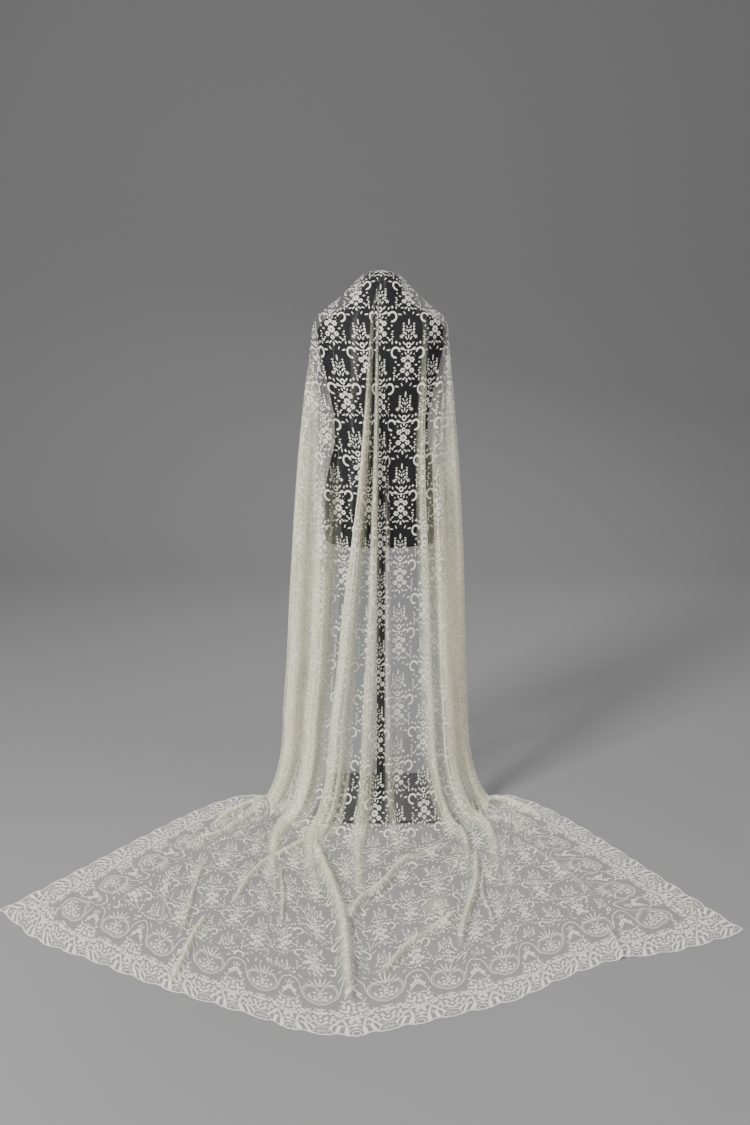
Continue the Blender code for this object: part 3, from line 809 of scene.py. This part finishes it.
def build_veil():
    """The whole veil as one sheet."""
    back, gather, shared, heights, train_start = back_sheet()
    middle = int(np.argmin(np.abs(column_angle(back_columns(), 0.82))))
    across, up = measures(back, middle)
    edge_scallops(back, across, up, train_start)
    across, up = measures(back, middle)
    side = np.minimum(across - across[:, :1], across[:, -1:] - across)
    above = np.zeros(len(back))
    above[:shared] = heights - SLIT_TOP
    side = np.hypot(side, HALF_SLANT * above[:, None])
    front = front_sheet(heights)
    around, front_up = measures(front, FRONT_COLUMNS // 2)
    far = np.full_like(front_up, FAR)
    thick = np.interp(heights, FRONT_GATHER_HEIGHTS, FRONT_GATHERS)
    thick = np.repeat(thick[:, None], FRONT_COLUMNS, axis=1)
    loose = np.full_like(front_up, FRONT_HANG)
    shared_seam = int(np.argmin(np.abs(heights - SEAM_TOP)))
    below = front[:, :, 2] - SEAM_TOP
    field_up = np.where(below < 0.0, below, up[:shared, -1:] - up[shared_seam, -1])

    work = bmesh.new()
    names = ("cloth", "edges", "gather", "pleat")
    hang = np.clip((back[:, :, 2] - HANG_START) / HANG_RISE, 0.0, 1.0)
    hang[train_start:] = np.clip(1.0 - np.arange(len(back) - train_start) / HANG_ROWS, 0.0, 1.0)[:, None]
    pleats = np.repeat(np.arange(back.shape[1])[None] / STREAK, len(back), axis=0)
    front_pleats = np.arange(FRONT_COLUMNS)[None] / STREAK + FRONT_PLEAT_START
    front_pleats = np.repeat(front_pleats, len(front), axis=0)
    level = up - up[shared_seam]
    lay_grid(work, back, (across, level, up, side, gather, hang, pleats, up), names)
    raise_ridges(work, work.loops.layers.uv["gather"])
    lay_grid(work, front, (around, field_up, front_up, far, thick, loose, front_pleats, front_up), names)
    bmesh.ops.remove_doubles(work, verts=work.verts, dist=WELD)
    top = [vert for vert in work.verts if vert.co.z > CROWN - 1e-6]
    bmesh.ops.pointmerge(work, verts=top, merge_co=(0.0, 0.0, CROWN + 0.0003))
    bmesh.ops.recalc_face_normals(work, faces=work.faces)
    edges = work.loops.layers.uv["edges"]
    for face in work.faces:
        corners = [loop[edges].uv for loop in face.loops]
        deep = min(sum(corner.x for corner in corners), sum(corner.y for corner in corners))
        face.material_index = int(deep < BORDER_DEEP * len(corners))
    mesh = bpy.data.meshes.new("veil")
    work.to_mesh(mesh)
    work.free()
    mesh.shade_smooth()
    veil = bpy.data.objects.new("veil", mesh)
    bpy.context.scene.collection.objects.link(veil)
    return veil


def feed(socket, given):
    """Link a wrapped socket to a socket, or set its plain value."""
    if isinstance(given, Value):
        given.tree.links.new(given.socket, socket)
    else:
        socket.default_value = given


def join(x, y):
    """Two numbers as one place on the cloth."""
    return Value(x.tree, x.node("ShaderNodeCombineXYZ", None, X=x, Y=y).outputs[0])


class Value:
    """A shader socket that reads like a number."""

    def __init__(self, tree, socket):
        self.tree = tree
        self.socket = socket

    def node(self, kind, settings=None, **inputs):
        """Add a node: its settings first, then its sockets by name or place."""
        made = self.tree.nodes.new(kind)
        for name, setting in (settings or {}).items():
            setattr(made, name, setting)
        for name, given in inputs.items():
            numbered = name[0] == "i" and name[1:].isdigit()
            feed(made.inputs[int(name[1:]) if numbered else name], given)
        return made

    def maths(self, operation, *others):
        inputs = {f"i{index}": other for index, other in enumerate((self, *others))}
        return Value(self.tree, self.node("ShaderNodeMath", {"operation": operation}, **inputs).outputs[0])

    def flipped(self, operation, first):
        made = self.node("ShaderNodeMath", {"operation": operation}, i0=first, i1=self)
        return Value(self.tree, made.outputs[0])

    def __add__(self, other):
        return self.maths("ADD", other)

    __radd__ = __add__

    def __sub__(self, other):
        return self.maths("SUBTRACT", other)

    def __rsub__(self, other):
        return self.flipped("SUBTRACT", other)

    def __mul__(self, other):
        return self.maths("MULTIPLY", other)

    __rmul__ = __mul__

    def __truediv__(self, other):
        return self.maths("DIVIDE", other)

    def __lt__(self, other):
        return self.maths("LESS_THAN", other)

    def __or__(self, other):
        return self.maths("MAXIMUM", other)

    def __and__(self, other):
        return self.maths("MINIMUM", other)

    def __abs__(self):
        return self.maths("ABSOLUTE")

    def vectors(self, operation, *others):
        inputs = {f"i{index}": other for index, other in enumerate((self, *others))}
        made = self.node("ShaderNodeVectorMath", {"operation": operation}, **inputs)
        return Value(self.tree, made.outputs[0])

    def length(self):
        made = self.node("ShaderNodeVectorMath", {"operation": "LENGTH"}, i0=self)
        return Value(self.tree, made.outputs["Value"])

    def split(self):
        parts = self.node("ShaderNodeSeparateXYZ", None, i0=self)
        return Value(self.tree, parts.outputs[0]), Value(self.tree, parts.outputs[1])

    def clamped(self):
        return Value(self.tree, self.node("ShaderNodeClamp", None, Value=self).outputs[0])

    def wrap(self, period):
        """Distance from the middle of a repeat, from minus half to plus half."""
        return self.maths("WRAP", period / 2, -period / 2)

    def mix(self, first, second):
        """A colour between two colours, with this as the share of the second."""
        made = self.node("ShaderNodeMix", {"data_type": "RGBA"}, i0=self, i6=first, i7=second)
        return Value(self.tree, made.outputs[2])


def new_material(name):
    """An empty Principled material: itself, the start of its maths and its shader."""
    material = bpy.data.materials.new(name)
    material.use_nodes = True
    tree = material.node_tree
    return material, Value(tree, None), tree.nodes["Principled BSDF"]


def finish(shader, sockets, strength, distance, height):
    """Feed a material's sockets, and its relief through a bump."""
    for name, given in sockets.items():
        feed(shader.inputs[name], given)
    bump = height.node("ShaderNodeBump", None, Strength=strength, Distance=distance, Height=height)
    height.tree.links.new(bump.outputs[0], shader.inputs["Normal"])


def uv_pair(start, name):
    """The two measures held in a UV layer."""
    layer = start.node("ShaderNodeUVMap", {"uv_map": name})
    return Value(start.tree, layer.outputs[0]).split()


def object_place(start):
    """Place on a piece, in metres."""
    return Value(start.tree, start.node("ShaderNodeTexCoord").outputs["Object"])


def spot(place, centre, radii, tilt=0.0):
    """Distance from the centre of an ellipse, 1 on its rim; a tilt turns it anticlockwise."""
    turn = (0.0, 0.0, math.radians(tilt))
    moved = place.node("ShaderNodeMapping", {"vector_type": "TEXTURE"}, Vector=place,
                       Location=(*centre, 0.0), Rotation=turn, Scale=(*radii, 1.0))
    return Value(place.tree, moved.outputs[0]).length()


def ring(place, centre, radii, thread):
    """Distance from a line round an ellipse, 1 at the edge of its thread."""
    return abs(spot(place, centre, radii) - 1.0) * (min(radii) / thread)


def without(shape, hole):
    """A shape with a hole cut out."""
    return shape | (2.0 - hole)


def flower(place, centre, radius, petals):
    """Distance from a round flower with an open eye, 1 on its rim."""
    moved = place.vectors("SUBTRACT", (*centre, 0.0))
    across, along = moved.split()
    lobes = abs((along.maths("ARCTAN2", across) * (petals / 2)).maths("COSINE"))
    rim = lobes * (FLOWER_LOBE * radius) + FLOWER_HEART * radius
    far = moved.length()
    return (far / rim) | (EYE_START - far * (EYE_EDGE / radius))


class Union:
    """A union of shapes, kept as the least of their distances while they are made one by one."""

    def __init__(self):
        self.least = None

    def add(self, shape):
        self.least = shape if self.least is None else self.least & shape

    def leaves(self, place, table):
        """Add the leaves of a table: across, along, half width, half length, tilt."""
        for across, along, half, reach, tilt in table:
            self.add(spot(place, (across, along), (half, reach), tilt))


def noise(place, scale, detail):
    """Soft noise on a place of the cloth."""
    flat = {"noise_dimensions": "2D"}
    made = place.node("ShaderNodeTexNoise", flat, Vector=place, Scale=scale, Detail=detail)
    return Value(place.tree, made.outputs[0])


def blossoms(place, size, looseness):
    """Small five-petalled flowers with open eyes, scattered close together."""
    cells = place.node("ShaderNodeTexVoronoi", {"voronoi_dimensions": "2D", "feature": "F1"},
                       Vector=place, Scale=1.0 / size, Randomness=looseness)
    local = place.vectors("SUBTRACT", Value(place.tree, cells.outputs["Position"]))
    across, along = local.split()
    far = local.length() * (1.0 / size)
    lobes = abs((along.maths("ARCTAN2", across) * (BLOSSOM_PETALS / 2)).maths("COSINE"))
    return (far / (lobes * BLOSSOM_LOBE + BLOSSOM_HEART)) | (EYE_START - far * (1.0 / BLOSSOM_EYE))


def lace_field(u, v):
    """Sprays of the open field in a half-drop repeat; under 1 on the thread."""
    cell = (u * (1 / FIELD_WIDE)).maths("ROUND")
    drop = abs(cell.maths("MODULO", 2.0)) * (FIELD_TALL / 2)
    place = join(abs(u - cell * FIELD_WIDE), (v + drop).wrap(FIELD_TALL))
    right, up = place.split()
    field = Union()
    field.leaves(place, FIELD_LEAVES)
    field.add(ring(place, *FIELD_RING))
    for centre, radius, petals in FIELD_FLOWERS:
        field.add(flower(place, centre, radius, petals))
    low = abs(up) - LADDER_MIDDLE
    ladder = join(right - LADDER_ACROSS, low.wrap(LADDER_STEP))
    field.add(spot(ladder, (0.0, 0.0), LADDER_LEAF, LADDER_TILT) | (abs(low) * (1 / LADDER_HALF)))
    for centre in (CURL, LOW_CURL):
        field.least = without(field.least, spot(place, centre, CURL_CLEAR))
    curl = ring(place, CURL, CURL_RADII, CURL_THREAD)
    field.add(without(curl, spot(place, *CURL_MOUTH)))
    field.add(ring(place, LOW_CURL, CURL_RADII, CURL_THREAD))
    field.leaves(place, (ARM,))
    return field.least


def lace_border(run, deep):
    """Scalloped band along an edge; under 1 on the thread."""
    half = REPEAT / 2
    place = join(abs(run.wrap(REPEAT)), deep)
    across_band, _ = place.split()
    border = Union()
    lean = (across_band - half) * (deep - FEATHER_UPRIGHT) * FEATHER_LEAN
    feather = abs((across_band + lean).wrap(FEATHER_STEP)) * (1 / FEATHER_HALF)
    border.add(feather | (abs(deep - FEATHER_MIDDLE) * (1 / FEATHER_REACH)))
    for across, along, radii in FAN_CLEARS:
        border.least = without(border.least, spot(place, (across * half, along), radii))
    border.leaves(place, BORDER_LEAVES)
    for across, along, radii, thread in BORDER_RINGS:
        border.add(ring(place, (across * half, along), radii, thread))
    border.add(abs(deep - HEM_THREAD) * (1 / HEM_THREAD))
    border.add(without(ring(place, *OVAL), spot(place, *OVAL_MOUTH)))
    wave = (run * (2 * math.pi / SCALLOP_PITCH)).maths("COSINE") * BAND_WAVE
    clusters = Union()
    clusters.add(abs(deep - wave - BAND_MIDDLE) * (1 / BAND_HALF))
    for across, along, radii in BORDER_CLUSTERS:
        clusters.add(spot(place, (across * half, along), radii))
    border.add(blossoms(place, BLOSSOM, BLOSSOM_LOOSENESS) | clusters.least)
    arch = ring(place, (half, ARCH[0]), *ARCH[1:])
    border.add(without(arch, spot(place, (half, ARCH_MOUTH[0]), ARCH_MOUTH[1])))
    for inward, along, radius, petals in BORDER_FLOWERS:
        border.add(flower(place, (half - inward, along), radius, petals))
    return border.least


def lace_material(name, bordered):
    """Cream cotton net, with woven sprays or with the scalloped border's pattern."""
    material, start, shader = new_material(name)
    u, v = uv_pair(start, "cloth")
    gather, hang = uv_pair(start, "gather")
    pleat, drop = uv_pair(start, "pleat")
    cloth = join(u, v)
    cloud = noise(cloth, CLOUD_SCALE, 2.0)
    if bordered:
        hem, side = uv_pair(start, "edges")
        shape = lace_border(u + (side < hem) * (hem - u), hem & side)
    else:
        pull = (cloud - 0.5) * (1.0 - hang) * FLOOR_PULL
        shape = lace_field(u + pull, v - pull * 0.7)
    thread = ((THREAD_SIZE - hang * THREAD_THINNER - shape) * THREAD_EDGE).clamped()

    grain = noise(cloth, GRAIN_SCALE, 2.0)
    layers = ((noise(cloth, LAYER_SCALE, 3.0) - LAYER_START) * LAYER_EDGE).clamped()
    streak = noise(join(pleat, drop * STREAK_DROP), 1.0, 2.0)
    crease = ((streak - CREASE_START) * CREASE_EDGE).clamped() * hang * CREASE_COVER
    uneven = (streak - 0.5) * hang * STREAK_SHARE + (grain - 0.5) * GRAIN_SHARE
    crowd = (gather * (uneven + CROWD_START) + crease).clamped()
    loose = (cloud - 0.5) * CLOUD_COVER + TRAIN_COVER
    single = (grain - 0.5) * NET_GRAIN + loose - hang * (loose - NET_COVER)
    net = single + crowd * (layers * LAYER_COVER + GATHER_COVER - single)
    cover = net | thread * (grain * YARN_GRAIN + YARN_COVER)

    plain = (crowd * 1.5).clamped().mix(NET_COLOUR, GATHER_COLOUR)
    # Painted shade: along low streaks of the gathered net, the colour is darkened toward a deeper tan in
    # the grooves
    groove_shade = ((GROOVE_SHADE_START - streak) * GROOVE_SHADE_EDGE).clamped() * crowd * hang
    yarn = thread * (1.0 - crowd * YARN_FADE) | layers * crowd * LAYER_YARN
    colour = yarn.mix(groove_shade.mix(plain, GROOVE_SHADE_COLOUR), YARN_COLOUR)
    relief = grain * 0.3 + streak * gather * hang * 1.2
    sockets = {"Alpha": cover.clamped(), "Base Color": colour}
    sockets.update({"Roughness": 0.72, "Specular IOR Level": 0.25})
    finish(shader, sockets, 0.4, 0.0008, relief)
    return material


def form_material():
    """Matt black jersey with a fine knit."""
    material, start, shader = new_material("form jersey")
    place = object_place(start)
    bands = {"wave_type": "BANDS", "bands_direction": "Z"}
    wave = start.node("ShaderNodeTexWave", bands, Vector=place, Scale=KNIT_SCALE, Distortion=0.6)
    knit = Value(start.tree, wave.outputs["Fac"])
    cloud = start.node("ShaderNodeTexNoise", None, Vector=place, Scale=9.0, Detail=3.0)
    fade = Value(start.tree, cloud.outputs[0])
    colour = (knit * 0.35 + fade * 0.5).mix(JERSEY_DARK, JERSEY_LIGHT)
    sockets = {"Base Color": colour, "Roughness": 0.86, "Specular IOR Level": 0.15}
    finish(shader, sockets, 0.25, 0.0004, knit)
    return material


def stand_material():
    """Black powder coat with a faint orange peel."""
    material, start, shader = new_material("stand paint")
    place = object_place(start)
    noise_node = start.node("ShaderNodeTexNoise", None, Vector=place, Scale=PEEL_SCALE, Detail=2.0)
    peel = Value(start.tree, noise_node.outputs[0])
    finish(shader, {"Base Color": PAINT_COLOUR, "Roughness": peel * 0.20 + 0.36}, 0.15, 0.0003, peel)
    return material


def dress_node(name, material):
    """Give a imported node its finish."""
    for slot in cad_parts[name].material_slots:
        slot.material = material


def build_stage():
    """Pale floor that curves up into a plain backdrop."""
    work = bmesh.new()
    made = bmesh.ops.create_grid(work, x_segments=2, y_segments=40, size=0.5)
    for vert in made["verts"]:
        across, back = vert.co.x * PAPER_WIDE, vert.co.y + 0.5
        bend = min(max((back - FLAT_SHARE) / BEND_SHARE, 0.0), 1.0) * math.pi / 2
        depth = PAPER_FRONT + min(back, FLAT_SHARE) / FLAT_SHARE * PAPER_FLAT + PAPER_BEND * math.sin(bend)
        wall = max(0.0, back - FLAT_SHARE - BEND_SHARE) / (1.0 - FLAT_SHARE - BEND_SHARE)
        rise = PAPER_BEND * (1 - math.cos(bend)) + wall * PAPER_HIGH
        vert.co = (across, depth, rise - PAPER_BELOW)
    mesh = bpy.data.meshes.new("stage")
    work.to_mesh(mesh)
    work.free()
    mesh.shade_smooth()
    floor = bpy.data.objects.new("stage", mesh)
    bpy.context.scene.collection.objects.link(floor)
    material, _, shader = new_material("stage paper")
    shader.inputs["Base Color"].default_value = PAPER_COLOUR
    shader.inputs["Roughness"].default_value = 0.9
    mesh.materials.append(material)


def add_light(name, place, target, size, power, colour):
    """A soft square studio light aimed at a point."""
    data = bpy.data.lights.new(name, "AREA")
    data.size = size
    data.energy = power
    data.color = colour
    lamp = bpy.data.objects.new(name, data)
    lamp.location = place
    aim = np.array(target) - np.array(place)
    tip = math.acos(-aim[2] / np.linalg.norm(aim))
    lamp.rotation_euler = (tip, 0.0, math.atan2(aim[1], aim[0]) - math.pi / 2)
    bpy.context.scene.collection.objects.link(lamp)


def build_view():
    """Camera at the photograph's place, and the studio lights."""
    data = bpy.data.cameras.new("camera")
    data.sensor_width = SENSOR
    data.lens = FOCAL_PIXELS * SENSOR / PHOTO_HEIGHT
    camera = bpy.data.objects.new("camera", data)
    camera.location = (CAMERA_SIDE, -CAMERA_BACK, CAMERA_HEIGHT)
    camera.rotation_euler = (math.radians(90 - CAMERA_DIP), 0.0, 0.0)
    bpy.context.scene.collection.objects.link(camera)
    bpy.context.scene.camera = camera

    for lamp in LIGHTS:
        add_light(*lamp)
    world = bpy.data.worlds.new("studio")
    world.use_nodes = True
    sky = world.node_tree.nodes["Background"]
    sky.inputs["Color"].default_value = SKY_COLOUR
    sky.inputs["Strength"].default_value = SKY_STRENGTH
    bpy.context.scene.world = world


def main():
    build_view()
    build_stage()
    stand = stand_material()
    form = form_material()
    for name in ("base_plate", "stand_pole"):
        dress_node(name, stand)
    for name in ("form_body", "form_neck_cap"):
        dress_node(name, form)
    veil = build_veil()
    veil.data.materials.append(lace_material("lace field", False))
    veil.data.materials.append(lace_material("lace border", True))
    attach(veil, "root")
    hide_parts(*[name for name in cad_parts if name.startswith("veil_")])


main()
